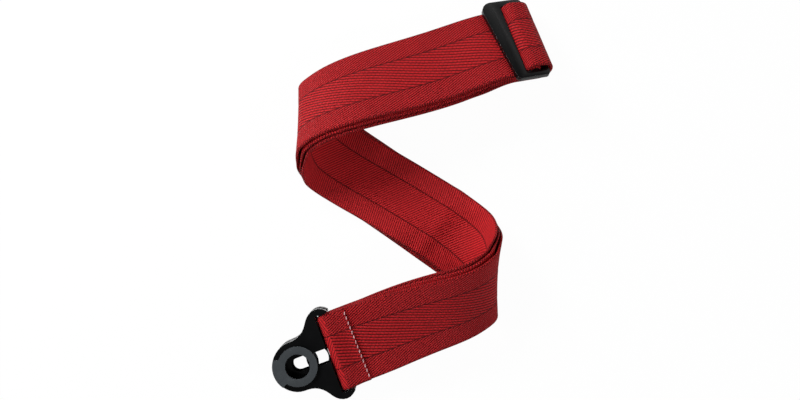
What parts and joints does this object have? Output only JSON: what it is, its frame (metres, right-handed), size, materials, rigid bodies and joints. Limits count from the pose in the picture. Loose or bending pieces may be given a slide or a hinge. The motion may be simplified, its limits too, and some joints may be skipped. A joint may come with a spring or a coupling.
{
  "type": "folded shoulder strap with button locks",
  "caption": "Woven shoulder strap for an instrument, folded in a Z, with a tapered slider and, at its ends, swivelling locks whose sprung dials grip strap buttons.",
  "frame": {"origin": "centre of the whole strap's bounding box in plan, at the surface that it lies on", "axes": "+Z up from the surface; +Y from the locks' end towards the slider's end, which is the strap's longest extent; +X to the right as seen from above with +Y up"},
  "size_m": [0.1784, 0.2576, 0.0489],
  "materials": {
    "red_webbing": "matte woven twill",
    "pale_thread": "matte thread",
    "black_nylon": "satin moulded",
    "grey_nylon": "satin moulded",
    "spring_steel": "drawn wire and plated screws"
  },
  "bodies": {
    "strap": {"webbing_run_1": "red_webbing", "webbing_run_2": "red_webbing", "webbing_run_3": "red_webbing", "lock_a_stitches": "pale_thread", "slider": "black_nylon"},
    "lock_a": {"lock_a_base": "black_nylon", "lock_a_keyhole_plate": "black_nylon", "lock_a_return_spring": "spring_steel", "lock_a_screw_1": "spring_steel", "lock_a_screw_2": "spring_steel", "lock_a_screw_3": "spring_steel", "lock_a_screw_4": "spring_steel"},
    "lock_a_dial": {"lock_a_dial": "grey_nylon", "lock_a_latch": "black_nylon"},
    "lock_b": {"lock_b_base": "black_nylon", "lock_b_keyhole_plate": "black_nylon", "lock_b_return_spring": "spring_steel", "lock_b_screw_1": "spring_steel", "lock_b_screw_2": "spring_steel", "lock_b_screw_3": "spring_steel", "lock_b_screw_4": "spring_steel"},
    "lock_b_dial": {"lock_b_dial": "grey_nylon", "lock_b_latch": "black_nylon"}
  },
  "joints": [
    {"name": "lock_a_swing", "type": "hinge", "parent": "strap", "child": "lock_a", "pos_m": [-0.04844, -0.09881, 0.0157], "axis": [-0.3469, 0.9379, 0], "range_deg": [0, 70]},
    {"name": "lock_b_swing", "type": "hinge", "parent": "strap", "child": "lock_b", "pos_m": [-0.04844, -0.09881, 0.0045], "axis": [-0.3469, 0.9379, 0], "range_deg": [-70, 0]},
    {"name": "lock_a_dial_turn", "type": "hinge", "parent": "lock_a", "child": "lock_a_dial", "pos_m": [-0.07283, -0.10783, 0.0112], "axis": [0, 0, 1], "range_deg": [0, 80], "stiffness_Nm_per_rad": 0.02, "springref_deg": -11.46},
    {"name": "lock_b_dial_turn", "type": "hinge", "parent": "lock_b", "child": "lock_b_dial", "pos_m": [-0.07283, -0.10783, 0], "axis": [0, 0, 1], "range_deg": [0, 80], "stiffness_Nm_per_rad": 0.02, "springref_deg": -11.46}
  ]
}
